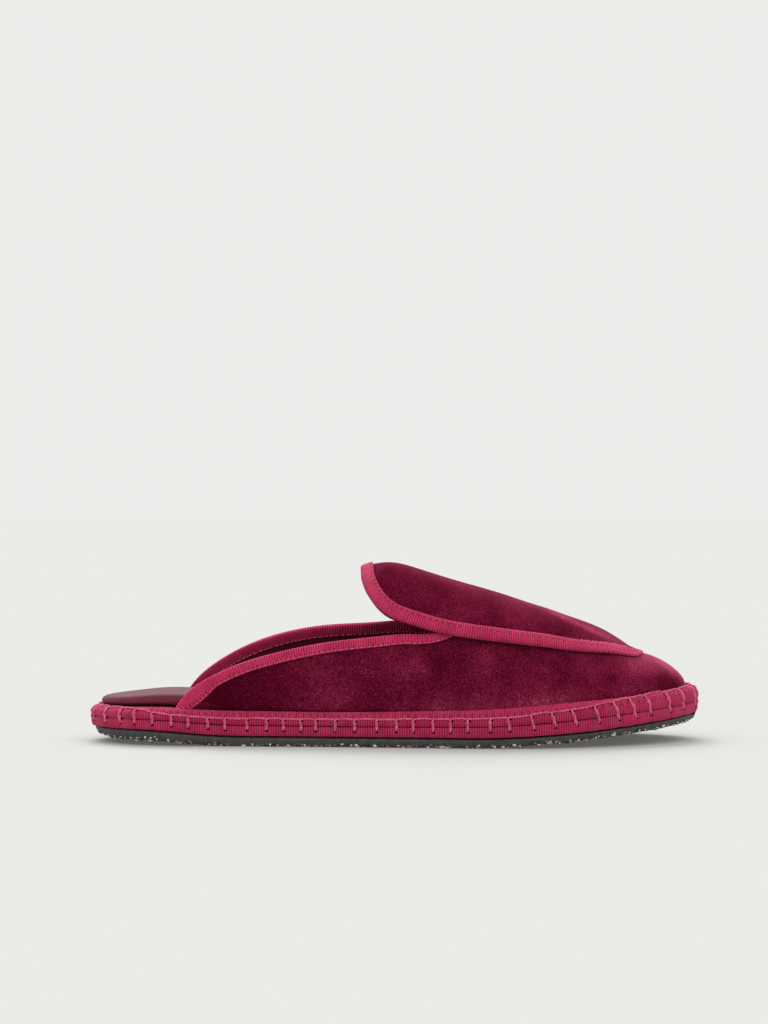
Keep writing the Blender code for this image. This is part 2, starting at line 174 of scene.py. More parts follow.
# %% A finish that adds nodes by one method
class Finish:
    """A material of this shoe, with its constants set on the shader's own sockets."""

    def __init__(self, name, **constants):
        self.material = bpy.data.materials.new(name)
        self.material.use_nodes = True
        self.tree = self.material.node_tree
        self.shader = self.tree.nodes["Principled BSDF"]
        for socket, value in constants.items():
            self.shader.inputs[socket.replace("_", " ")].default_value = value

    def node(self, kind, settings=None, *values, out=0, **named):
        """Adds a node: its settings first, then the values or links of its sockets."""
        made = self.tree.nodes.new(kind)
        for key, value in (settings or {}).items():
            if key == "stops":
                ramp_of(made, value)
            else:
                setattr(made, key, value)
        pairs = [(made.inputs[k], value) for k, value in enumerate(values)]
        pairs += [(made.inputs[key.replace("_", " ")], value) for key, value in named.items()]
        for socket, value in pairs:
            if isinstance(value, Value):
                self.tree.links.new(value.socket, socket)
            else:
                socket.default_value = value
        return Value(self, made.outputs[out])

    def mix(self, share, first, second):
        """Two colours, mixed by a share."""
        made = self.tree.nodes.new("ShaderNodeMix")
        made.data_type = "RGBA"
        for place, value in ((0, share), (6, first), (7, second)):
            if isinstance(value, Value):
                self.tree.links.new(value.socket, made.inputs[place])
            elif place == 0:
                made.inputs[0].default_value = value
            else:
                made.inputs[place].default_value = (*value, 1)
        return Value(self, made.outputs[2])

    def noise(self, where, scale, detail=2.0, roughness=0.5):
        """Soft noise from 0 to 1, with about that many spots to the metre."""
        sockets = {"Vector": where, "Scale": scale, "Detail": detail, "Roughness": roughness}
        return self.node("ShaderNodeTexNoise", None, **sockets)

    def place(self):
        """Object coordinates."""
        return self.node("ShaderNodeTexCoord", None, out="Object")

    def split(self, vector):
        """The three numbers of a vector."""
        made = self.node("ShaderNodeSeparateXYZ", None, vector)
        return [Value(self, socket) for socket in made.socket.node.outputs]

    def chart(self, name):
        """Along and across, in metres, from a piece's own UV map."""
        along, across, _ = self.split(self.node("ShaderNodeUVMap", {"uv_map": name}))
        return along, across

    def bump(self, height, distance, strength=1.0):
        """Normals for a relief. Distance is what a height of 1 stands for, in metres."""
        sockets = {"Strength": strength, "Distance": distance, "Height": height}
        return self.node("ShaderNodeBump", None, **sockets)

    def attribute(self, name, out="Fac"):
        """A number or colour that is stored at each corner of a piece."""
        return self.node("ShaderNodeAttribute", {"attribute_name": name}, out=out)

    def set(self, **values):
        """Links what varies over the surface to the shader, and gives the material."""
        for key, value in values.items():
            self.tree.links.new(value.socket, self.shader.inputs[key.replace("_", " ")])
        return self.material


# %% Stops of a ramp, and a colour made lighter or darker
def ramp_of(node, stops):
    """Sets the stops of a colour ramp: (position, colour) pairs."""
    elements = node.color_ramp.elements
    while len(elements) < len(stops):
        elements.new(0.5)
    for element, (position, colour) in zip(elements, stops):
        element.position = position
        element.color = (*colour, 1)


def shade(colour, times):
    """A colour made darker, or lighter up to white."""
    return tuple(min(1, part * times) for part in colour)


# %% [markdown]
# ## Sky and light table
# The studio is one pale room, so the sky has the backdrop's grey down to the horizon and
# grows brighter overhead. A wall could stand behind the shoe instead, but it would be in the
# way of every other view. The floor's own grey and glow add up to the same backdrop.

# %% Hang the sky
BACKDROP = (0.838, 0.846, 0.823)
ZENITH = (1.45, 1.45, 1.42)


class Sky(Finish):
    """The world's own small graph."""

    def __init__(self, world):
        world.use_nodes = True
        self.material, self.tree = world, world.node_tree
        self.shader = self.tree.nodes["Background"]


bpy.context.scene.world = bpy.data.worlds.new("studio_sky")
sky = Sky(bpy.context.scene.world)
_, _, up = sky.split(sky.node("ShaderNodeTexCoord", None, out="Generated"))
sky.set(Color=sky.node("ShaderNodeValToRGB", {"stops": [(0.30, BACKDROP), (1.0, ZENITH)]}, up))

# %% Light the table
FLOOR_GREY = 0.4125
FLOOR_GLOW = 0.09
FLOOR_TINT = (1.0, 1.008, 0.985)
GLOW_TINT = (1.0, 1.01, 0.985)

table = Finish(
    "light_table", Base_Color=(*shade(FLOOR_TINT, FLOOR_GREY), 1), Roughness=0.9, Specular_IOR_Level=0.0,
    Emission_Color=(*GLOW_TINT, 1), Emission_Strength=FLOOR_GLOW,
)
floor.data.materials.append(table.material)
print("floor", FLOOR_GREY, "with a glow of", FLOOR_GLOW)

# %% [markdown]
# ## Taking a piece over from the frame
# A CAD node is a shell of loose flat triangles. Each piece of this scene starts as a copy
# of its node: the corners are merged, the triangles joined back into the rows of
# quads they came from, and a Subdivision Surface rounds them. A piece modelled afresh could
# drift from the solid that it stands for, and a copy can't. The node itself is never touched.

# %% Pick a piece, or some of its corners
def select_one(piece):
    """Selects one piece alone, ready for an operator."""
    bpy.ops.object.select_all(action="DESELECT")
    piece.select_set(True)
    bpy.context.view_layer.objects.active = piece


def select_corners(piece, test):
    """Opens a piece in edit mode, with only the corners selected that pass a test."""
    select_one(piece)
    bpy.ops.object.mode_set(mode="EDIT")
    bpy.ops.mesh.select_all(action="DESELECT")
    bpy.ops.object.mode_set(mode="OBJECT")
    for vertex in piece.data.vertices:
        vertex.select = test(vertex.co)
    bpy.ops.object.mode_set(mode="EDIT")


# %% Copy a node
def quad_copy(node, name):
    """A merged copy of a CAD node, back in the rows of quads it came from."""
    select_one(frame["nodes"][node])
    bpy.ops.object.duplicate()
    piece = bpy.context.object
    piece.name = piece.data.name = name
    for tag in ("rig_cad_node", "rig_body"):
        if tag in piece:
            del piece[tag]
    piece.parent = None
    piece.data.materials.clear()
    bpy.ops.object.mode_set(mode="EDIT")
    bpy.ops.mesh.select_all(action="SELECT")
    bpy.ops.mesh.remove_doubles(threshold=1e-6)
    bpy.ops.mesh.customdata_custom_splitnormals_clear()
    face, shape = math.radians(60), math.pi
    bpy.ops.mesh.tris_convert_to_quads(face_threshold=face, shape_threshold=shape)
    bpy.ops.mesh.mark_sharp(clear=True)
    bpy.ops.object.mode_set(mode="OBJECT")
    return piece


# %% Round a piece, and keep some of its edges crisp
def crease_edges(piece, test, crease):
    """Keeps the edges crisp whose two corners both pass a test."""
    layer = piece.data.attributes.get("crease_edge")
    if layer is None:
        layer = piece.data.attributes.new("crease_edge", "FLOAT", "EDGE")
    corners = [test(vertex.co) for vertex in piece.data.vertices]
    for edge in piece.data.edges:
        if corners[edge.vertices[0]] and corners[edge.vertices[1]]:
            layer.data[edge.index].value = crease


def subdivide(piece, levels):
    """Rounds a piece with an applied Subdivision Surface."""
    select_one(piece)
    subsurf = piece.modifiers.new("round", "SUBSURF")
    subsurf.levels = subsurf.render_levels = levels
    bpy.ops.object.modifier_apply(modifier=subsurf.name)
    bpy.ops.object.shade_smooth()
    print(piece.name, len(piece.data.vertices), "corners")


# %% Finish a piece
def finish_piece(piece, material, node=None):
    """Gives a piece its finish and its place on the frame."""
    piece.data.materials.clear()
    piece.data.materials.append(material)
    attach(piece, "root")
    if node:
        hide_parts(node)


def mark_corners(piece, name, value):
    """Stores a number at each corner, worked out from its place and normal."""
    layer = piece.data.attributes.new(name, "FLOAT", "POINT")
    layer.data.foreach_set("value", [value(v.co, v.normal) for v in piece.data.vertices])


# %% [markdown]
# ## Lines to follow
# Ribs, stitches and threads all run along something: the sole's outline or a ribbon's edge.
# A curve could be drawn by hand for each, but it would have to be fitted to the shoe. The
# copies still have their rows of quads, so a line is walked from corner to corner,
# straight over each crossing, and then smoothed into a path with a length.

# %% Walk along a row of edges
def walk_line(piece, near, heading):
    """The corners of the row of edges that passes nearest a point in about the given direction."""
    work = bmesh.new()
    work.from_mesh(piece.data)
    near, heading = Vector(near), Vector(heading).normalized()

    def miss(edge):
        one, two = (v.co for v in edge.verts)
        slant = abs((two - one).normalized().dot(heading))
        return ((one + two) / 2 - near).length + (0 if slant > 0.85 else 1)

    start = min(work.edges, key=miss)

    def onward(edge, vertex):
        """The corners ahead, and whether the line came back to its start."""
        line = [vertex]
        while len(vertex.link_edges) == 4:
            faces = set(edge.link_faces)
            across = [e for e in vertex.link_edges if not faces & set(e.link_faces)]
            if len(across) != 1:
                break
            edge = across[0]
            vertex = edge.other_vert(vertex)
            if vertex in (start.verts[0], start.verts[1]):
                return line, True
            line.append(vertex)
        return line, False

    ahead, closed = onward(start, start.verts[1])
    if closed:
        corners = [start.verts[0]] + ahead
    else:
        behind, _ = onward(start, start.verts[0])
        corners = behind[::-1] + ahead
    line = np.array([v.co for v in corners])
    work.free()
    return line, closed


# %% A smooth path with a length
class Path:
    """A smooth line through corners, with places and directions at any distance along it."""

    def __init__(self, corners, closed, step=0.0004):
        corners = np.asarray(corners, float)
        self.closed = closed
        count = len(corners)
        spans = count if closed else count - 1
        points = []
        for k in range(spans):
            if closed:
                a, b, c, d = (corners[(k + j) % count] for j in (-1, 0, 1, 2))
            else:
                a, b, c, d = (corners[min(max(k + j, 0), count - 1)] for j in (-1, 0, 1, 2))
            pieces = max(2, int(np.linalg.norm(c - b) / step))
            for j in range(pieces):
                t = j / pieces
                points.append(
                    0.5 * (2 * b + (c - a) * t + (2 * a - 5 * b + 4 * c - d) * t * t
                           + (3 * b - a - 3 * c + d) * t**3)
                )
        points.append(points[0] if closed else corners[-1])
        self.points = np.array(points)
        steps = np.linalg.norm(np.diff(self.points, axis=0), axis=1)
        self.at = np.concatenate([[0], np.cumsum(steps)])
        self.length = self.at[-1]
        self.trees = {}

    def place(self, distance):
        """The place at a distance along the path."""
        if self.closed:
            distance = distance % self.length
        return np.array([np.interp(distance, self.at, self.points[:, k]) for k in range(3)])

    def heading(self, distance):
        """The direction of the path there."""
        ahead = self.place(distance + 0.0008) - self.place(distance - 0.0008)
        return ahead / np.linalg.norm(ahead)

    def tree(self, flat):
        """The path's points, sorted for quick searches."""
        if flat not in self.trees:
            line = self.points.copy()
            if flat:
                line[:, 2] = 0
            tree = KDTree(len(line))
            for k, point in enumerate(line):
                tree.insert(point, k)
            tree.balance()
            self.trees[flat] = line, tree
        return self.trees[flat]

    def nearest(self, places, flat=False):
        """The distance along the path nearest each place, and how far off it is."""
        line, tree = self.tree(flat)
        places = np.array(places, float)
        if flat:
            places[:, 2] = 0
        along, off = np.zeros(len(places)), np.zeros(len(places))
        last = len(line) - 1
        for k, place in enumerate(places):
            _, best, gap = tree.find(place)
            ahead = line[min(best + 1, last)] - line[max(best - 1, 0)]
            ahead /= np.linalg.norm(ahead)
            along[k] = self.at[best] + float((place - line[best]) @ ahead)
            off[k] = gap
        return along, off


# %% A chart of each ribbon
def chart_along(piece, path, flat=False, across=None):
    """A UV map in metres: U runs along a path and V across it, as far off as across says."""
    mesh = piece.data
    places = np.array([v.co for v in mesh.vertices])
    along, off = path.nearest(places, flat)
    if across is not None:
        off = across(places)
    while mesh.uv_layers:
        mesh.uv_layers.remove(mesh.uv_layers[0])
    layer = mesh.uv_layers.new(name="ribbon")
    corners = np.array([loop.vertex_index for loop in mesh.loops])
    uv = np.column_stack([along[corners], off[corners]])
    if path.closed:
        for face in mesh.polygons:
            ids = slice(face.loop_start, face.loop_start + face.loop_total)
            values = uv[ids, 0]
            if values.max() - values.min() > path.length / 2:
                uv[ids, 0] = np.where(values < path.length / 2, values + path.length, values)
    layer.data.foreach_set("uv", uv.ravel())
    return along, off


# %% [markdown]
# ## The sole's outline
# Ribs and blanket stitch go once round the sole, so they need its outline. It could be
# written down once more from the part's source, but it is already in the rim: its widest
# corners stand in pairs, one straight above the other. Those pairs, sorted round the shoe,
# are the outline.

# %% Take the outline from the rim
rim = quad_copy("rim", "rim_band")


def find_outline(piece):
    """The lower and the upper corner of each pair, sorted round the shoe."""
    stacks = {}
    for vertex in piece.data.vertices:
        key = (round(vertex.co.x * 5e4), round(vertex.co.y * 5e4))
        stacks.setdefault(key, []).append(vertex.co.copy())
    pairs = [corners for corners in stacks.values() if len(corners) > 1]
    pairs.sort(key=lambda corners: math.atan2(corners[0].y, corners[0].x))
    low = [min(corners, key=lambda c: c.z) for corners in pairs]
    high = [max(corners, key=lambda c: c.z) for corners in pairs]
    return low, high


# The two corners of a pair stand at these shares of the rim's height.
LOW_SHARE, HIGH_SHARE = 0.16, 0.50

low_row, high_row = find_outline(rim)
outline = Path([(c.x, c.y, 0) for c in low_row], closed=True)
rim_height = np.array([h.z - l.z for l, h in zip(low_row, high_row)]) / (HIGH_SHARE - LOW_SHARE)
seam_z = np.array([c.z for c in low_row]) - rim_height * LOW_SHARE
lip_z = np.array([c.z for c in high_row]) + rim_height * (1 - HIGH_SHARE)
row_at = outline.nearest(np.array([(c.x, c.y, 0) for c in low_row]))[0]
order = np.argsort(row_at)


def height_round(distance, heights):
    """A height at a distance round the outline."""
    return float(np.interp(distance % outline.length, row_at[order], heights[order], period=outline.length))


def seam_height(distance):
    """Height of the seam between the two bands."""
    return height_round(distance, seam_z)


def lip_height(distance):
    """Height of the rim's upper edge."""
    return height_round(distance, lip_z)


print("outline", round(outline.length * 1000, 1), "mm round,", len(low_row), "corners")

# %% [markdown]
# ## Rounding the bands
# Both bands of the sole are cotton ribbon over a firm core. Where a blanket stitch pulls
# tight it presses the ribbon in, and the cloth swells a little between two stitches. A bump
# in the finish would look flat at the outline, so the corners themselves are moved. The
# bands get three subdivisions, so that their corners are close enough for such dents.

# %% Places of the blanket stitches
# Stations in millimetres from the heel, as the outer side shows them.
OUTER_LEGS = (
    1.9, 7.4, 14.2, 21.0, 27.7, 35.6, 43.2, 50.6, 58.4, 66.8, 74.8, 82.0, 88.6, 95.3, 103.0, 111.2, 119.4,
    127.4, 134.4, 142.5, 149.9, 156.5, 165.1, 173.5, 183.2, 192.4, 201.2, 210.6, 219.0, 225.9, 232.9,
    241.0, 247.6, 253.1,
)
INNER_PITCH = 0.0079
UNEVEN = 0.0005
OUTER_SIDE_Y = 0.0035

spots = np.array([outline.place(k * MM) for k in range(int(outline.length / MM))])
outer_spots = [k for k in range(len(spots)) if spots[k][1] < OUTER_SIDE_Y]


def outer_place(station):
    """Distance round the outline of a station on the outer side."""
    wanted = HEEL_X + station * MM
    return min(outer_spots, key=lambda k: abs(spots[k][0] - wanted)) * MM


outer_legs = sorted(outer_place(station) for station in OUTER_LEGS)
inner_start, inner_end = outer_legs[-1], outer_legs[0] + outline.length
inner_count = round((inner_end - inner_start) / INNER_PITCH)
inner_legs = [inner_start + (inner_end - inner_start) * k / inner_count for k in range(1, inner_count)]
chance = random.Random(7)
legs = outer_legs + [place + chance.uniform(-UNEVEN, UNEVEN) for place in inner_legs]
print(len(legs), "stitches, from", round(outer_legs[0], 4), "to", round(outer_legs[-1], 4))


# %% Dent a band at the stitches
DENT_WIDTH = 0.0009
SWELL_WIDTH = 0.0035
# Round heel and toe the stitches reach over the edge: stations in mm, and the share of it.
END_STATIONS = (0, 16, 32, 190, 220, 255)
END_SHARES = (1.0, 1.0, 0.0, 0.0, 1.0, 1.0)


def dent_bands(piece, deep, high, reach):
    """Dents a band along each stitch and swells it between. High is the middle of a dent over
    the seam and reach its half length, all in metres."""
    mesh = piece.data
    places = np.array([v.co for v in mesh.vertices])
    normals = np.array([v.normal for v in mesh.vertices])
    along, _ = outline.nearest(places, flat=True)
    ring, half = np.array([leg % outline.length for leg in legs]), outline.length / 2
    near = np.abs((along[:, None] - ring[None, :] + half) % outline.length - half).min(1)
    above = places[:, 2] - np.array([seam_height(a) for a in along])
    station = (places[:, 0] - HEEL_X) / MM
    ends = np.interp(station, END_STATIONS, END_SHARES)
    fade = np.clip(1 - np.abs(above - high) / (reach + 0.004 * ends), 0, 1) ** 0.5
    deep = deep * (1 + 0.9 * ends)
    push = -deep * np.exp(-((near / DENT_WIDTH) ** 2)) + 0.45 * deep * np.clip(near / SWELL_WIDTH, 0, 1)
    side = np.clip(1.2 - np.abs(normals[:, 2]), 0, 1) ** (1 - 0.6 * ends)
    moved = places + normals * (push * fade * side)[:, None]
    mesh.vertices.foreach_set("co", moved.ravel())
    mesh.update()


# %% Close the seam and round both bands
SEAM_SHIFT = 0.00009
SEAM_REACH = 0.0003


def is_seam_row(co):
    """Whether a corner stands at the seam between the two bands."""
    along = outline.nearest([tuple(co)], flat=True)[0][0]
    return abs(co.z - seam_height(along)) < SEAM_REACH


def close_seam(piece, shift):
    """Brings a band's edge up to the seam, so that only a thin dark line is left."""
    select_corners(piece, is_seam_row)
    bpy.ops.transform.translate(value=(0, 0, shift))
    bpy.ops.object.mode_set(mode="OBJECT")


close_seam(rim, -SEAM_SHIFT)
crease_edges(rim, is_seam_row, 0.9)
subdivide(rim, 3)
dent_bands(rim, deep=0.00032, high=0.0015, reach=0.0040)
midsole = quad_copy("midsole", "midsole_band")
close_seam(midsole, SEAM_SHIFT)
crease_edges(midsole, lambda co: True, 0.8)
subdivide(midsole, 3)
dent_bands(midsole, deep=0.00026, high=-0.0005, reach=0.0030)


# %% Chart the bands
def height_over_seam(places):
    """How far up the bands a place is, following the rim over its lip."""
    along, off = outline.nearest(places, flat=True)
    return places[:, 2] - np.array([seam_height(a) for a in along]) + off


for band in (rim, midsole):
    chart_along(band, outline, flat=True, across=height_over_seam)

# %% [markdown]
# ## Grosgrain ribbon
# Grosgrain has fine round ribs across its length, ten to the centimetre. Modelled ribs would
# need thousands of faces on every ribbon, so bump draws them, and the groove between two ribs
# is painted darker as shade. The pattern follows each ribbon's own chart, so that ribs stay
# square to its length round every bend. A second, softer noise breaks the evenness of the dye.

# %% Weave the ribbon's finish
RIB = 0.00101
RIBBON_LIT = (0.60, 0.040, 0.128)
RIBBON_DEEP = (0.44, 0.022, 0.078)
# Painted shade: the groove between two ribs, and a ribbon's face that looks to the foot, are darkened to this
# share of the deep colour.
PAINTED_SHADE = 0.34


def even_pitch(length, wanted):
    """A pitch near the wanted one that fits a length a whole number of times."""
    return length / round(length / wanted)


def grosgrain(name, length, rows=(), pitch=0.0030, tint=1.0, inner=0.0):
    """Ribbed ribbon on a chart, with painted shade in its grooves. Rows are places across it where a machine
    stitch
    sinks in, each with its strength: its holes are dashes of painted shade and its thread lighter dashes.
    Pitch is the stitch's length. Inner is how much painted shade darkens the face that looks to the foot."""
    finish = Finish(
        name, Roughness=0.7, Specular_IOR_Level=0.05,
        Sheen_Weight=0.26, Sheen_Roughness=0.40, Sheen_Tint=(1.0, 0.30, 0.44, 1),
    )
    along, across = finish.chart("ribbon")
    where = finish.place()
    wander = finish.noise(where, 900, 2.0)
    rib = ((along * (math.pi / even_pitch(length, RIB))) + (wander - 0.5) * 0.8).sine().size()
    # Painted shade in the groove between two ribs; the ribs themselves are bump.
    groove_shade = 1 - rib.above(0.15, 0.80)
    cloud = finish.noise(where, 160, 4.0, 0.6)
    fibre = finish.noise(where, 5200, 2.0)
    deep, lit = shade(RIBBON_DEEP, tint), shade(RIBBON_LIT, tint)
    colour = finish.mix(cloud.above(0.30, 0.72), deep, lit)
    colour = finish.mix(groove_shade * 0.85, colour, shade(deep, PAINTED_SHADE))
    colour = finish.mix(fibre.above(0.45, 0.80) * 0.30, colour, shade(lit, 1.9))
    height = rib * 0.8 + fibre * 0.25
    for row, share in rows:
        wave = ((along / pitch).fraction() - 0.5).size()
        beside = (across - row).size()
        # A dark dash of painted shade in each hole where the stitch sinks in; the bump dips there too.
        hole_shade = (1 - beside.above(0.00010, 0.00048)) * (wave.above(0.28, 0.38) * 0.50 + 0.45) * share
        thread = (1 - beside.above(0.00012, 0.00024)) * (1 - wave.above(0.26, 0.32)) * share
        colour = finish.mix(hole_shade, colour, shade(deep, 0.10))
        colour = finish.mix(thread, colour, shade(lit, 1.5))
        height = height - hole_shade + thread * 1.2
    # Painted shade: the faces that look to the foot, marked at the corners, are darkened.
    if inner:
        colour = finish.mix(finish.attribute("nap") * inner, colour, shade(deep, PAINTED_SHADE))
    relief = finish.bump(height, 0.00035, 1.0)
    return finish.set(Base_Color=colour, Normal=relief)


SOLE_TINT = 0.91
RIM_STITCHES = 205
# Two rows near the lip: metres from the seam, and strength.
RIM_ROWS = ((0.0046, 0.70), (0.0060, 0.70))

rim_pitch = outline.length / RIM_STITCHES
rim_ribbon = grosgrain("rim_ribbon", outline.length, RIM_ROWS, rim_pitch, tint=SOLE_TINT)
midsole_ribbon = grosgrain("midsole_ribbon", outline.length, tint=SOLE_TINT)
finish_piece(rim, rim_ribbon, "rim")
finish_piece(midsole, midsole_ribbon, "midsole")
print("ribbon with", round(outline.length / RIB), "ribs round the sole")

# %% [markdown]
# ## Blanket stitch
# A waxed cotton thread holds the two bands together. Each stitch comes out of a hole in the
# lower band, crosses the seam and runs on to the next stitch along the upper band. The
# thread is two plies twisted together. It could be one long curve, but its turns would
# shift on every bend. So a straight piece is twisted once, from two small circles swept by
# a Screw modifier, and each stitch is a copy of it that is bent along the bands.

# %% Twist a straight thread
def join_all(pieces, name):
    """One piece made of many."""
    bpy.ops.object.select_all(action="DESELECT")
    for piece in pieces:
        piece.select_set(True)
    bpy.context.view_layer.objects.active = pieces[0]
    bpy.ops.object.join()
    joined = pieces[0]
    joined.name = joined.data.name = name
    bpy.ops.object.shade_smooth()
    return joined


def straight_thread(name, radius, offset, turns, rings):
    """A two-ply thread one unit long, on the X axis. Offset is from the axis to a ply's middle."""
    plies = []
    for side in (1, -1):
        bpy.ops.object.select_all(action="DESELECT")
        place, turned = (0, side * offset, 0), (0, math.pi / 2, 0)
        bpy.ops.mesh.primitive_circle_add(vertices=6, radius=radius, location=place, rotation=turned)
        bpy.ops.object.transform_apply(location=True, rotation=True, scale=True)
        ply = bpy.context.object
        screw = ply.modifiers.new("twist", "SCREW")
        screw.axis = "X"
        screw.angle = 2 * math.pi * turns
        screw.screw_offset = 1
        screw.steps = screw.render_steps = rings
        bpy.ops.object.modifier_apply(modifier=screw.name)
        plies.append(ply)
    thread = join_all(plies, name)
    bpy.ops.object.mode_set(mode="EDIT")
    bpy.ops.mesh.select_all(action="SELECT")
    bpy.ops.mesh.fill_holes(sides=8)
    bpy.ops.mesh.select_all(action="SELECT")
    bpy.ops.mesh.normals_make_consistent(inside=False)
    bpy.ops.object.mode_set(mode="OBJECT")
    return thread


# %% Find a place on the bands
def surface_of(piece):
    """A piece's surface, ready for nearest-place and ray searches."""
    mesh = piece.data
    return BVHTree.FromPolygons([v.co for v in mesh.vertices], [f.vertices for f in mesh.polygons])


bands = [surface_of(band) for band in (rim, midsole)]
LIP_PROFILE = ((0.0, 0.0), (0.50, 0.0), (0.74, 0.0008), (0.92, 0.0024), (1.0, 0.0038))


def on_bands(distance, up):
    """A place and its normal on the bands. Up is metres under the seam, or a share of the rim over it."""
    seam, lip = seam_height(distance), lip_height(distance)
    height = seam + (up if up < 0 else up * (lip - seam))
    inset = float(np.interp(up, [p[0] for p in LIP_PROFILE], [p[1] for p in LIP_PROFILE]))
    heading = outline.heading(distance)
    outward = Vector((heading[1], -heading[0], 0))
    start = Vector(outline.place(distance)) + Vector((0, 0, height)) - outward * inset
    start += outward * 0.0004
    best = min((tree.find_nearest(start) for tree in bands), key=lambda hit: hit[3])
    return np.array(best[0]), np.array(best[1])


def bend_copy(template, places, normals):
    """A copy of a straight piece, one unit long, bent along places on a surface."""
    select_one(template)
    bpy.ops.object.duplicate()
    piece = bpy.context.object
    path = Path(places, closed=False)
    marks = np.linspace(0, 1, len(normals))
    normals = np.array(normals)
    moved = []
    for vertex in piece.data.vertices:
        share, y, z = vertex.co
        share = min(max(share, 0), 1)
        place, heading = path.place(share * path.length), path.heading(share * path.length)
        normal = np.array([np.interp(share, marks, normals[:, k]) for k in range(3)])
        aside = np.cross(normal, heading)
        aside /= np.linalg.norm(aside)
        up = np.cross(heading, aside)
        moved.append(place + aside * y + up * z)
    piece.data.vertices.foreach_set("co", np.array(moved).ravel())
    return piece


# %% Height and lean of a stitch along the shoe
# Stations in mm. The stitches reach over the rim's edge at the heel and the toe.
TOP_STATIONS = (0, 18, 34, 176, 206, 228, 255)
TOP_SHARES = (1.0, 0.98, 0.50, 0.50, 0.66, 0.93, 1.0)
LEAN_STATIONS = (0, 10, 20, 165, 196, 222, 244, 255)
LEANS = (0, 1.0, 0.2, 0.0, 2.6, 3.4, 2.4, 0)


def station_at(distance):
    """Station of a place on the outline, in millimetres from the heel."""
    return (outline.place(distance)[0] - HEEL_X) / MM


def stitch_top(distance):
    """How far up the rim a stitch reaches, as a share of its height."""
    return float(np.interp(station_at(distance), TOP_STATIONS, TOP_SHARES))


def stitch_lean(distance):
    """How far a stitch's top leans back towards the heel, in metres."""
    lean = float(np.interp(station_at(distance), LEAN_STATIONS, LEANS)) * MM
    return lean if outline.place(distance)[1] > 0 else -lean


# %% Lay a thread over the bands
# A thread lies a little proud of the ribbon, and its two ends sink into it.
STEPS = 8
LEG_DROP, LEG_LIFT, LEG_SINK = 0.0019, 0.00030, 0.0004
LINK_LIFT, LINK_SINK = 0.00022, 0.0005


def lay_thread(template, steps):
    """A piece of thread over the bands. A step says how far round, how far up and how proud."""
    places, normals = [], []
    for at, up, lift in steps:
        place, normal = on_bands(at, up)
        places.append(place + normal * lift)
        normals.append(normal)
    return bend_copy(template, places, normals)


# %% Sew the legs
chance = random.Random(21)
leg_thread = straight_thread("leg", radius=0.00040, offset=0.00030, turns=1.5, rings=12)
link_thread = straight_thread("link", radius=0.00025, offset=0.00018, turns=3.0, rings=18)
stitches, tops = [], []
for leg in legs:
    drop = LEG_DROP + chance.uniform(-0.0002, 0.0003)
    share, lean = stitch_top(leg), stitch_lean(leg)
    height = lip_height(leg) - seam_height(leg)
    steps = []
    for k in range(STEPS + 1):
        f = k / STEPS
        up = -drop + f * (drop + share * height)
        lift = LEG_LIFT * min(1.0, 5 * min(f + 0.02, 1.03 - f)) - (LEG_SINK if k in (0, STEPS) else 0)
        steps.append((leg + lean * f, up if up < 0 else up / height, lift))
    stitches.append(lay_thread(leg_thread, steps))
    tops.append((leg + lean, share))

# %% Sew the links from top to top
for k, (at, share) in enumerate(tops):
    after, after_share = tops[(k + 1) % len(tops)]
    if after < at:
        after += outline.length
    steps = []
    droop = chance.uniform(-0.03, 0.05)
    for j in range(STEPS + 1):
        f = j / STEPS
        up = share + (after_share - share) * f + droop * math.sin(math.pi * f)
        steps.append((at + (after - at) * f, min(up, 1.0), LINK_LIFT - (LINK_SINK if j in (0, STEPS) else 0)))
    stitches.append(lay_thread(link_thread, steps))
blanket_stitch = join_all(stitches, "blanket_stitch")
print("blanket stitch", len(legs), "legs,", len(blanket_stitch.data.polygons), "faces")

# %% Lay dark grains as painted shadow in the holes
def repeat(count, name):
    """Small round grains in a row, one mesh, ready to be put in their places."""
    bpy.ops.object.select_all(action="DESELECT")
    bpy.ops.mesh.primitive_ico_sphere_add(subdivisions=1, radius=1)
    row = bpy.context.object
    row.name = row.data.name = name
    grain = np.array([v.co for v in row.data.vertices])
    array = row.modifiers.new("row", "ARRAY")
    array.count = count
    bpy.ops.object.modifier_apply(modifier=array.name)
    bpy.ops.object.shade_smooth()
    return row, grain


HOLE_DEPTH = 0.00022

# Place round the outline, height, half length and half width of each dark grain: painted shadow in the hole
# at a leg's foot, and under the link thread at its top.
shadow_grains = []
for leg, (at, share) in zip(legs, tops):
    shadow_grains.append((leg, -0.0022, 0.00090, 0.00048))
    shadow_grains.append((at + 0.0004, share - 0.11, 0.00140, 0.00060))
stitch_hole_shadows, grain = repeat(len(shadow_grains), "stitch_hole_shadows")
corners = []
for at, up, long, wide in shadow_grains:
    place, normal = on_bands(at, up)
    heading = outline.heading(at)
    upward = np.cross(heading, normal)
    hole = place + np.outer(grain[:, 0] * long, heading) + np.outer(grain[:, 1] * wide, upward)
    corners.append(hole + np.outer(grain[:, 2] * HOLE_DEPTH, normal))
stitch_hole_shadows.data.vertices.foreach_set("co", np.concatenate(corners).ravel())
for template in (leg_thread, link_thread):
    bpy.data.objects.remove(template)
print(len(shadow_grains), "holes")

# %% Dye the thread
def thread_finish(name, lit, deep):
    """Pink thread, a little shiny, between its lighter and its deeper colour."""
    finish = Finish(
        name, Roughness=0.55, Specular_IOR_Level=0.12,
        Sheen_Weight=0.35, Sheen_Roughness=0.4, Sheen_Tint=(1.0, 0.45, 0.60, 1),
    )
    where = finish.place()
    colour = finish.mix(finish.noise(where, 700, 2.0).above(0.3, 0.7), deep, lit)
    relief = finish.bump(finish.noise(where, 6000, 2.0), 0.00008, 0.7)
    return finish.set(Base_Color=colour, Normal=relief)


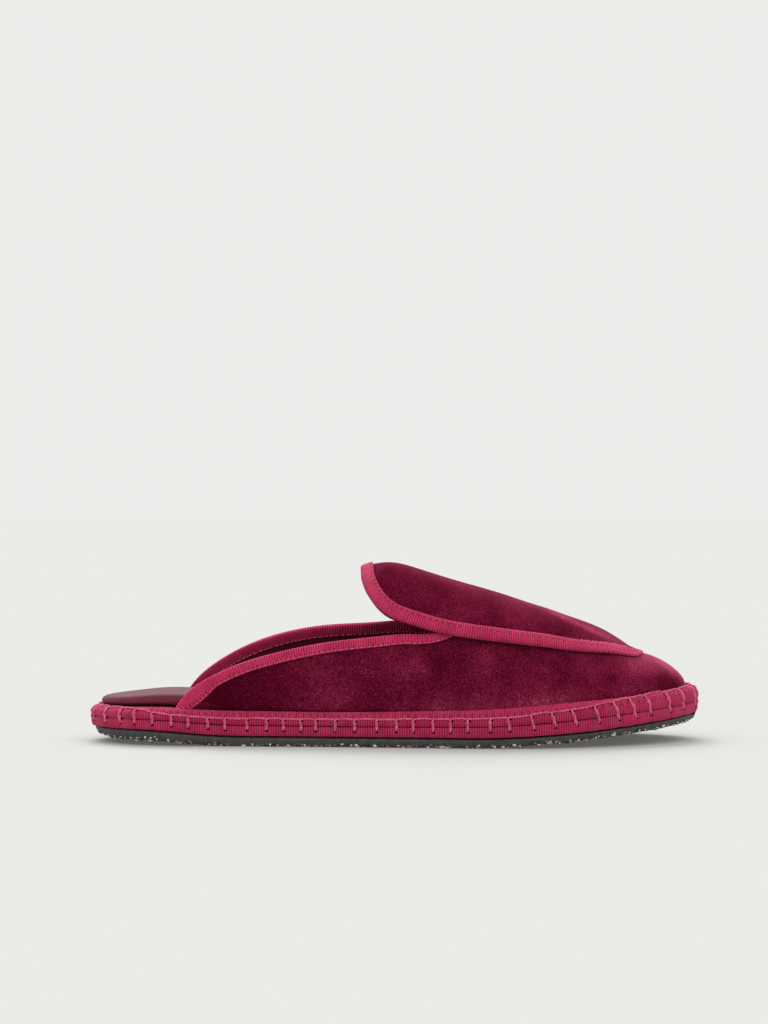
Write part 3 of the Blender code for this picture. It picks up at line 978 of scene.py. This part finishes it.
waxed_thread = thread_finish("waxed_thread", (0.74, 0.135, 0.270), (0.52, 0.062, 0.150))
finish_piece(blanket_stitch, waxed_thread)
shadow = Finish("hole_shadow", Roughness=1.0, Specular_IOR_Level=0.0)
where = shadow.place()
# Painted shadow: near black, a little red.
depth = shadow.mix(shadow.noise(where, 900, 1.0), (0.020, 0.001, 0.004), (0.045, 0.003, 0.010))
finish_piece(stitch_hole_shadows, shadow.set(Base_Color=depth))

# %% [markdown]
# ## Rubber outsole
# The outsole is thin dark rubber. Its lowest millimetre and a half is pressed from rubber
# crumb with pale, orange and blue-grey specks. Lumps for all of them would be far too many
# faces, so specks in the finish cover the whole underside, and only along the lower edge,
# where the outline shows them, some crumbs stand out as small lumps.

# %% Round the outsole
outsole = quad_copy("outsole", "rubber_outsole")


def bottom_of(x):
    """Height of the sole's underside at a place along the shoe, from its lowest corners."""
    return float(np.interp(x, bottom_x, bottom_z))


COLUMNS = 400
lowest = {}
for vertex in outsole.data.vertices:
    key = round(vertex.co.x * COLUMNS)
    lowest[key] = min(lowest.get(key, 1), vertex.co.z)
bottom_x = np.array([key / COLUMNS for key in sorted(lowest)])
bottom_z = np.array([lowest[key] for key in sorted(lowest)])
crease_edges(outsole, lambda co: co.z < bottom_of(co.x) + 0.0004, 0.7)
crease_edges(outsole, lambda co: co.z > bottom_of(co.x) + 0.0025, 0.8)
subdivide(outsole, 2)
mark_corners(outsole, "above_floor", lambda co, normal: co.z - bottom_of(co.x))

# %% Cast the rubber
CHIPS = 820.0
rubber = Finish("crumb_rubber", Roughness=0.62, Specular_IOR_Level=0.35)
where = rubber.place()
height = rubber.attribute("above_floor")
mottle = rubber.noise(where, 420, 3.0)
body = rubber.mix(mottle.above(0.3, 0.7), (0.045, 0.042, 0.043), (0.072, 0.066, 0.067))
cell = rubber.node("ShaderNodeTexVoronoi", {"feature": "F1"}, where, out="Color", Scale=CHIPS)
pick, chip, _ = rubber.split(cell)
core = rubber.node("ShaderNodeTexVoronoi", {"feature": "F1"}, where, out="Distance", Scale=CHIPS)
speck_stops = [
    (0.0, (0.62, 0.60, 0.55)), (0.30, (0.55, 0.30, 0.12)), (0.45, (0.50, 0.18, 0.16)),
    (0.60, (0.20, 0.22, 0.30)), (0.80, (0.70, 0.66, 0.60)),
]
speck = rubber.node("ShaderNodeValToRGB", {"stops": speck_stops}, pick)
shown = chip.above(0.72, 0.76) * (1 - core.above(0.30, 0.42))
edge_noise = rubber.noise(where, 260, 2.0)
crumb = 1 - (height + (edge_noise - 0.5) * 0.0014).above(0.0008, 0.0013)
body = rubber.mix(shown * crumb, body, speck)
grain = rubber.noise(where, 1900, 3.0)
relief = rubber.bump(grain + crumb * chip * 1.5, 0.0002, 0.8)
rubber.set(Base_Color=body, Normal=relief)
finish_piece(outsole, rubber.material, "outsole")

# %% Press crumbs into the lower edge
CRUMBS = 1100
CRUMB_SIZES = (0.00022, 0.00068)
CRUMB_SPREAD = 0.00060
CRUMB_COLOURS = (
    (0.78, 0.76, 0.72), (0.84, 0.80, 0.74), (0.80, 0.74, 0.64),
    (0.55, 0.28, 0.10), (0.48, 0.20, 0.17), (0.16, 0.19, 0.27),
    (0.020, 0.020, 0.021), (0.030, 0.029, 0.029), (0.050, 0.048, 0.052),
    (0.035, 0.034, 0.036), (0.015, 0.015, 0.016), (0.045, 0.044, 0.045),
)
chance = random.Random(5)
sole_tree = surface_of(outsole)
edge_crumbs, grain = repeat(CRUMBS, "edge_crumbs")
corners, tones = [], []
while len(corners) < CRUMBS:
    at = chance.uniform(0, outline.length)
    heading = outline.heading(at)
    outward = Vector((heading[1], -heading[0], 0))
    foot = Vector(outline.place(at))
    up = bottom_of(foot.x) + abs(chance.gauss(0, CRUMB_SPREAD)) + 0.00010
    hit, _, _, _ = sole_tree.ray_cast(foot + outward * 0.01 + Vector((0, 0, up)), -outward)
    if hit is None:
        continue
    size = chance.uniform(*CRUMB_SIZES)
    rough = np.array([size * chance.uniform(0.70, 1.20) for _ in grain])
    stretch = chance.uniform(0.8, 1.9)
    crumb = np.array(hit) + np.outer(grain[:, 0] * rough * stretch, heading)
    crumb += np.outer(grain[:, 1] * rough * 0.6, outward)
    crumb[:, 2] += grain[:, 2] * rough
    crumb[:, 2] = np.maximum(crumb[:, 2], 0.00005)
    corners.append(crumb)
    tones += [(*chance.choice(CRUMB_COLOURS), 1)] * len(grain)
edge_crumbs.data.vertices.foreach_set("co", np.concatenate(corners).ravel())
tone_layer = edge_crumbs.data.color_attributes.new("tone", "FLOAT_COLOR", "POINT")
tone_layer.data.foreach_set("color", np.array(tones).ravel())

# %% Colour the crumbs
crumb_finish = Finish("crumbs", Roughness=0.7, Specular_IOR_Level=0.3)
tone = crumb_finish.attribute("tone", out="Color")
speckle = crumb_finish.noise(crumb_finish.place(), 2500, 2.0)
tone = crumb_finish.mix(speckle * 0.35, tone, (0.05, 0.05, 0.05))
finish_piece(edge_crumbs, crumb_finish.set(Base_Color=tone))
print(len(corners), "crumbs")

# %% [markdown]
# ## Padded footbed
# The footbed is a thin board with foam, covered in a smooth satin lining. Its top is painted
# grey-violet, a painted sheen where it catches the light, and its side wine red, with fine ribs
# painted light on the crest and dark in the groove as painted shade. Two materials would meet
# in a hard line there, so one finish fades between both, by how steep the cover is.

# %% Round and cover the footbed
SATIN_RIB = 0.00095

footbed = quad_copy("insole", "footbed_pad")
subdivide(footbed, 2)
chart_along(footbed, outline, flat=True)
# How steep the cover is, which decides where the painted sheen of the top gives way to the side.
mark_corners(footbed, "side", lambda co, normal: 1 - abs(normal.z))
lining = Finish(
    "footbed_satin", Roughness=0.55, Specular_IOR_Level=0.04,
    Sheen_Weight=0.088, Sheen_Roughness=0.35, Sheen_Tint=(0.95, 0.52, 0.60, 1),
)
where = lining.place()
along, _ = lining.chart("ribbon")
side = lining.attribute("side").above(0.35, 0.75)
cloud = lining.noise(where, 70, 3.0)
weave = lining.noise(where, 2600, 2.0)
rib = (along * (math.pi / SATIN_RIB) + (cloud - 0.5) * 2).sine().size()
# The top: the satin's own colour, made greyer as painted sheen.
sheen_top = lining.mix(cloud, (0.090, 0.019, 0.029), (0.120, 0.031, 0.043))
# The side: dark wine, its ribs painted light on the crest and dark in the groove as painted shade; the bump
# shapes the ribs too.
edge = lining.mix(rib.above(0.1, 0.8), (0.070, 0.009, 0.018), (0.195, 0.036, 0.062))
body = lining.mix(side, sheen_top, edge)
relief = lining.bump(weave + cloud * 1.5 + side * rib * 1.2, 0.00014, 0.7)
lining.set(Base_Color=body, Normal=relief)
finish_piece(footbed, lining.material, "insole")

# %% [markdown]
# ## Velvet
# Velvet is a dense short pile. It looks dark straight on and bright at a slant, where
# light grazes the tips, and strokes and touches leave lighter and darker patches. Hair
# could stand for the pile, but it doesn't leave the scene with the piece. So the
# shader's sheen gives the slant, and slow noise under a fine grain gives the patches.

# %% Weave the velvet
def velvet(name, shift, sheen):
    """Dark red pile. The painted sheen, highlight and shade stored at its corners make it lighter or darker.
    Shift moves the patches, so that two pieces don't have the same ones."""
    finish = Finish(
        name, Roughness=0.95, Specular_IOR_Level=0.0,
        Sheen_Weight=sheen, Sheen_Roughness=0.28, Sheen_Tint=(1.0, 0.26, 0.38, 1),
    )
    where = finish.place()
    moved = finish.node("ShaderNodeMapping", {}, where, Location=(shift, shift * 0.7, 0))
    patches = finish.noise(moved, 48, 2.0, 0.5)
    strokes = finish.noise(moved, 210, 3.0, 0.6)
    brushed = finish.node(
        "ShaderNodeMapping", {"vector_type": "TEXTURE"}, moved, Rotation=(0, -0.70, 0), Scale=(1.9, 1, 1)
    )
    pile = finish.noise(brushed, 2300, 1.0, 0.5)
    nap = finish.attribute("nap")
    # The painted light stored at the corners moves the pile up and down the ramp; its top stops are the
    # colours of painted sheen and highlight.
    share = patches * 0.46 + strokes * 0.20 + pile * 0.74 + nap * 0.21 - 0.245
    stops = [
        (0.30, (0.048, 0.0011, 0.0084)), (0.48, (0.114, 0.0046, 0.0215)),
        (0.64, (0.195, 0.0140, 0.0480)), (0.80, (0.350, 0.0500, 0.1100)), (1.0, (0.560, 0.1150, 0.2150)),
    ]
    colour = finish.node("ShaderNodeValToRGB", {"stops": stops}, share)
    relief = finish.bump(patches * 1.2 + strokes * 0.5 + pile * 0.45, 0.0006, 0.55)
    return finish.set(Base_Color=colour, Normal=relief)


# %% [markdown]
# ## Lining
# The inside of both velvet pieces is a smooth dark lining. A second shell inside the first
# could tear through it at a fold. The copies are closed shells with an inside of their own,
# so their faces are sorted instead: one that looks towards the foot is lining.

# %% Line the inside
cotton = Finish("dark_lining", Roughness=0.8, Specular_IOR_Level=0.06, Sheen_Weight=0.06)
where = cotton.place()
cloud = cotton.noise(where, 90, 3.0)
weave = cotton.noise(where, 3000, 2.0)
dyed = cotton.mix(cloud, (0.060, 0.0045, 0.016), (0.095, 0.0085, 0.026))
cotton.set(Base_Color=dyed, Normal=cotton.bump(weave, 0.0001, 0.6))


def faces_out(place, normal):
    """Whether a surface looks away from the foot."""
    return Vector(normal).dot(Vector(place) - Vector((place[0], 0.0, 0.012))) > 0


def line_inside(piece):
    """Gives the lining to every face that looks towards the foot."""
    piece.data.materials.append(cotton.material)
    lined = [face for face in piece.data.polygons if not faces_out(face.center, face.normal)]
    for face in lined:
        face.material_index = 1
    print(piece.name, "has", len(lined), "faces of lining")


# %% [markdown]
# ## Upper and apron
# The upper is one velvet wall, drawn over a last and caught under the rim. The apron lies on
# it, and its front end is steamed flat. A cloth simulation could settle both, but the frame
# already gives the settled shape, and single folds and pressed ends follow simple rules.
# Their corners are moved by such rules, and a painted sheen, highlight and shade of the pile is stored as a
# number at each corner.

# %% Cut the upper
def share_of(value, low, high):
    """0 below low, 1 above high."""
    return min(max((value - low) / (high - low), 0), 1)


def rim_and_toe_sheen(co, normal):
    """Painted light on the pile: a painted sheen where it is brushed up along the rim, a painted highlight
    where the top of the toe faces up, and darker at the rear, where it is brushed down.
    """
    along = outline.nearest([tuple(co)], flat=True)[0][0]
    up = (co.z - lip_height(along)) / 0.009
    # Painted sheen along the rim.
    rim_sheen = 0.9 * max(0, 1 - up) ** 1.5 * share_of(co.x, -0.02, 0.03)
    rim_sheen *= 1 - 0.6 * share_of(co.x, 0.070, 0.085)
    # Painted highlight where the top of the toe faces up.
    toe_highlight = share_of(co.x, 0.074, 0.112) * share_of(normal.z, 0.20, 0.95) * share_of(co.z, 0.018, 0.030)
    return rim_sheen + 1.7 * toe_highlight ** 1.5 - 0.46 * share_of(co.x, -0.030, -0.075)


upper = quad_copy("upper", "velvet_upper")
subdivide(upper, 2)
vamp_tree = surface_of(upper)
mark_corners(upper, "nap", rim_and_toe_sheen)
finish_piece(upper, velvet("upper_velvet", shift=0.0, sheen=0.74), "upper")
line_inside(upper)

# %% Press the apron's front end
# Stations in mm, and how much of the apron's height over the vamp is kept there.
PRESS_STATIONS = (190, 222, 233)
PRESS_KEPT = (1.0, 0.50, 0.26)


def press_front(piece):
    """Steams the apron's front end down onto the vamp, where its layers are skived thin."""
    for vertex in piece.data.vertices:
        station = (vertex.co.x - HEEL_X) / MM
        if station < PRESS_STATIONS[0]:
            continue
        spot, normal, _, _ = vamp_tree.find_nearest(vertex.co)
        if (vertex.co - spot).dot(normal) > 0:
            keep = float(np.interp(station, PRESS_STATIONS, PRESS_KEPT))
            vertex.co = spot + (vertex.co - spot) * keep
    piece.data.update()


apron = quad_copy("apron", "velvet_apron")
subdivide(apron, 2)
press_front(apron)

# %% Raise the fold on the apron
# Two places on the fold's crest, as X and Z, and its half width.
FOLD_FRONT, FOLD_REAR = (0.0864, 0.0445), (0.0580, 0.0578)
FOLD_WIDTH = 0.0018


def fold_gap(co):
    """How far a place is above the soft fold along the apron's outer side, in metres."""
    lean = (FOLD_REAR[1] - FOLD_FRONT[1]) / (FOLD_REAR[0] - FOLD_FRONT[0])
    return co.z - (FOLD_FRONT[1] + (co.x - FOLD_FRONT[0]) * lean)


def fold_share(co):
    """Where along the apron the fold shows, from 0 to 1."""
    along = share_of(co.x, 0.050, 0.064) * (1 - share_of(co.x, 0.086, 0.100))
    return along * (1 - share_of(co.y, -0.010, 0.008))


def fold_highlight_and_shade(co, normal):
    """Painted highlight along the fold's crest and painted shade above it, on pile a little darker all over.
    """
    gap = fold_gap(co)
    crest_highlight = math.exp(-((gap + 0.0004) / 0.0012) ** 2)
    over_shade = share_of(gap, 0.0006, 0.0020)
    return -0.10 + fold_share(co) * (1.1 * crest_highlight - 0.5 * over_shade)


for vertex in apron.data.vertices:
    gap = fold_gap(vertex.co)
    raised = 0.00045 * math.exp(-(gap / FOLD_WIDTH) ** 2)
    sunk = 0.00030 * math.exp(-((gap - 2 * FOLD_WIDTH) / FOLD_WIDTH) ** 2)
    vertex.co += vertex.normal * (raised - sunk) * fold_share(vertex.co)
# The fold's painted highlight and shade are stored at the corners.
mark_corners(apron, "nap", fold_highlight_and_shade)
finish_piece(apron, velvet("apron_velvet", shift=0.31, sheen=0.44), "apron")
line_inside(apron)

# %% [markdown]
# ## Bound edges
# Collar and apron are bound with folded grosgrain. A flat strip could be bent round each
# edge, but the frame has both ribbons folded in place already, so they are copies too. An
# edge of each ribbon is walked as a line while the copy still has its rows of quads, and
# becomes the path that its chart follows.

# %% Bind the collar
collar = quad_copy("topline_binding", "collar_binding")
near_side = [v.co.copy() for v in collar.data.vertices if abs(v.co.x) < 0.006 and v.co.y < 0]
collar_path, inner_path = (
    Path(walk_line(collar, min(near_side, key=low), (1, 0, 0.1))[0], closed=False)
    for low in (lambda co: co.z + co.y, lambda co: co.z - co.y)
)
subdivide(collar, 2)
collar_chart = chart_along(collar, collar_path)
COLLAR_PITCH = even_pitch(collar_path.length, 0.0020)
outside, inside = round(collar_path.length / MM), round(inner_path.length / MM)
print("collar ribbon", outside, "mm outside,", inside, "inside")


# %% Spread the collar's ends on the rim
# Behind the first of these the ribbon is sewn down, and behind the second it is cut off.
SEWN_DOWN_X = -0.055
RAW_ENDS_X = -0.0770
SINK_RUN = 0.0085


def smooth_ends(piece):
    """Evens out the corners at the ribbon's two ends."""
    select_corners(piece, lambda co: co.x < RAW_ENDS_X)
    bpy.ops.mesh.vertices_smooth(factor=0.5, repeat=6)
    bpy.ops.object.mode_set(mode="OBJECT")


def sink_ends(piece, depth, begins):
    """Draws the two ends down into the rim, where they are caught between rim and footbed."""
    for vertex in piece.data.vertices:
        vertex.co.z -= depth * float(np.interp(vertex.co.x, (begins - SINK_RUN, begins), (1, 0))) ** 1.5
    piece.data.update()


def spread_ends(piece, off, reach, high):
    """Slides the ribbon's lower edge along the rim by up to reach, where its ends are sewn down.
    High is how far over the rim's edge this begins."""
    places = np.array([v.co for v in piece.data.vertices])
    along, inset = outline.nearest(places, flat=True)
    for vertex, at, deep, across in zip(piece.data.vertices, along, inset, off):
        up = vertex.co.z - lip_height(at)
        slide = reach * max(0.0, min(1.0, 1 - up / high)) * max(0.0, 1 - across / 0.0045)
        if slide < 0.0001 or vertex.co.x > SEWN_DOWN_X:
            continue
        spot, normal, _, _ = vamp_tree.find_nearest(vertex.co)
        proud = (vertex.co - spot).dot(normal)
        after = at + slide if vertex.co.y < 0 else at - slide
        heading = outline.heading(after)
        moved = Vector(outline.place(after)) - Vector((heading[1], -heading[0], 0)) * deep
        moved.z = vertex.co.z
        spot, normal, _, _ = vamp_tree.find_nearest(moved)
        vertex.co = spot + normal * proud
    for vertex, at, across in zip(piece.data.vertices, along, off):
        if vertex.co.x < SEWN_DOWN_X:
            low = max(0.0, 1 - (vertex.co.z - lip_height(at)) / high)
            vertex.co.z -= 0.0042 * low * max(0.0, min(1.0, 1.5 - across / 0.0030))
    sink_ends(piece, 0.0042, -0.0830)
    smooth_ends(piece)


spread_ends(collar, collar_chart[1], reach=0.0066, high=0.0095)
sink_ends(upper, 0.0066, -0.0815)
# Painted shade: corners on faces that look to the foot are marked 1, for the ribbon's finish to darken.
mark_corners(collar, "nap", lambda co, normal: 0.0 if faces_out(co, normal) else 1.0)
collar_ribbon = grosgrain(
    "collar_ribbon", collar_path.length, ((0.00105, 0.50),), COLLAR_PITCH, tint=1.05, inner=0.42
)
finish_piece(collar, collar_ribbon, "topline_binding")

# %% Bind the apron
binding = quad_copy("apron_binding", "apron_edge_binding")
side = min((v for v in binding.data.vertices if 0.03 < v.co.x < 0.045), key=lambda v: v.co.y).co
apron_line, closed = walk_line(binding, side, (1, 0, 0))
apron_path = Path(apron_line, closed=closed)
subdivide(binding, 2)
press_front(binding)
apron_tree = surface_of(apron)


def press_lip(piece, off):
    """Presses the ribbon's inner edge into the pile of the apron."""
    for vertex, across in zip(piece.data.vertices, off):
        spot, normal, _, _ = apron_tree.find_nearest(vertex.co)
        proud = (vertex.co - spot).dot(normal)
        if proud > 0 and faces_out(spot, normal):
            vertex.co -= normal * min(0.00045 * share_of(across, 0.0043, 0.0058), proud * 0.7)
    piece.data.update()


APRON_SEAM = 0.0030
press_lip(binding, apron_path.nearest([v.co for v in binding.data.vertices])[1])
APRON_PITCH = even_pitch(apron_path.length, 0.0026)


def across_apron(places):
    """Distance from the ribbon's outer edge, scaled so that its seam drifts inwards on the tongue."""
    off = apron_path.nearest(places)[1]
    return off * np.interp(np.array(places)[:, 0], (-0.012, 0.025, 0.060), (0.68, 0.98, 1.20))


apron_chart = chart_along(binding, apron_path, across=across_apron)
apron_rows = ((APRON_SEAM, 0.65),)
apron_ribbon = grosgrain("apron_ribbon", apron_path.length, apron_rows, APRON_PITCH, tint=0.95)
finish_piece(binding, apron_ribbon, "apron_binding")
print("apron ribbon", round(apron_path.length / MM), "mm round,", closed, len(apron_line), "corners")

# %% [markdown]
# ## Machine stitches
# A fine machine stitch holds each folded ribbon. Colour alone would draw it, but close up a
# real stitch stands proud. So one stitch is a flattened grain of thread, an Array modifier
# repeats it as a straight row, and the row is then laid along its line on the ribbon.
# The holes between two stitches are already in the ribbon's finish, as dashes of painted shade.

# %% Find the line of a row
ROW_END = 0.004
ROW_STEP = 0.002
ROW_WIDTH = 0.0006


def line_on(piece, chart, wanted, path, inside=False):
    """Places and normals at a wanted distance across a ribbon's outer or inner face."""
    along, off = chart
    places = np.array([v.co for v in piece.data.vertices])
    normals = np.array([v.normal for v in piece.data.vertices])
    out = np.array([faces_out(p, n) != inside for p, n in zip(places, normals)])
    tree = surface_of(piece)
    line = []
    for at in np.arange(ROW_END, path.length - ROW_END, ROW_STEP):
        near = out & (np.abs(along - at) < 0.0022) & (np.abs(off - wanted) < ROW_WIDTH)
        if near.sum() < 2:
            continue
        middle = places[near].mean(0) + normals[near].mean(0) * 0.0003
        spot, normal, _, _ = tree.find_nearest(Vector(middle))
        line.append((at, np.array(spot), np.array(normal)))
    return line


# %% Lay a row of stitches
def lay_row(name, line, pitch, length, width, start=0.0):
    """One stitch, repeated by an Array modifier and laid along a line on a ribbon. Start is how
    far along the first pitch it begins."""
    marks = np.array([at for at, _, _ in line])
    spots_on = np.array([spot for _, spot, _ in line])
    normals = np.array([normal for _, _, normal in line])
    count = int((marks[-1] - marks[0]) / pitch)
    bpy.ops.object.select_all(action="DESELECT")
    bpy.ops.mesh.primitive_uv_sphere_add(segments=6, ring_count=5, radius=1)
    row = bpy.context.object
    row.name = row.data.name = name
    bpy.ops.object.mode_set(mode="EDIT")
    bpy.ops.mesh.select_all(action="SELECT")
    bpy.ops.transform.resize(value=(length / 2, width / 2, width * 0.36))
    bpy.ops.object.mode_set(mode="OBJECT")
    array = row.modifiers.new("row", "ARRAY")
    array.count = count
    array.use_relative_offset = False
    array.use_constant_offset = True
    array.constant_offset_displace = (pitch, 0, 0)
    bpy.ops.object.modifier_apply(modifier=array.name)
    straight = np.array([v.co for v in row.data.vertices])
    first = math.ceil(marks[0] / pitch) * pitch + start
    at = first + straight[:, 0]

    def along(values, where):
        """What the line has at places along it."""
        return np.column_stack([np.interp(where, marks, values[:, k]) for k in range(3)])

    place = along(spots_on, at)
    heading = along(spots_on, at + 0.0006) - along(spots_on, at - 0.0006)
    heading /= np.linalg.norm(heading, axis=1)[:, None] + 1e-12
    up = along(normals, at)
    up -= heading * (up * heading).sum(1)[:, None]
    up /= np.linalg.norm(up, axis=1)[:, None]
    aside = np.cross(up, heading)
    laid = place + aside * straight[:, 1:2] + up * (straight[:, 2:3] + width * 0.10)
    row.data.vertices.foreach_set("co", laid.ravel())
    row.data.update()
    bpy.ops.object.shade_smooth()
    print(name, count, "stitches")
    return row


# %% Sew the ribbons down
fine_thread = thread_finish("fine_thread", (0.68, 0.110, 0.225), (0.52, 0.060, 0.145))
COLLAR_EDGE = 0.0005
EDGE_LOOPS = 0.0058

collar_row = lay_row(
    "collar_stitches", line_on(collar, collar_chart, COLLAR_EDGE, collar_path),
    COLLAR_PITCH, length=COLLAR_PITCH * 0.86, width=0.00050, start=COLLAR_PITCH / 2,
)
finish_piece(collar_row, fine_thread)
inner_chart = inner_path.nearest([v.co for v in collar.data.vertices])
inner_row = lay_row(
    "collar_inner_stitches", line_on(collar, inner_chart, COLLAR_EDGE, inner_path, inside=True),
    COLLAR_PITCH, length=COLLAR_PITCH * 0.86, width=0.00045,
)
finish_piece(inner_row, fine_thread)
apron_row = lay_row(
    "apron_stitches", line_on(binding, apron_chart, APRON_SEAM, apron_path),
    APRON_PITCH, length=APRON_PITCH * 0.66, width=0.00052, start=APRON_PITCH / 2,
)
finish_piece(apron_row, fine_thread)
plain_chart = apron_path.nearest([v.co for v in binding.data.vertices])
apron_loops = lay_row(
    "apron_edge_loops", line_on(binding, plain_chart, EDGE_LOOPS, apron_path),
    pitch=0.0020, length=0.0016, width=0.00095,
)
finish_piece(apron_loops, fine_thread)
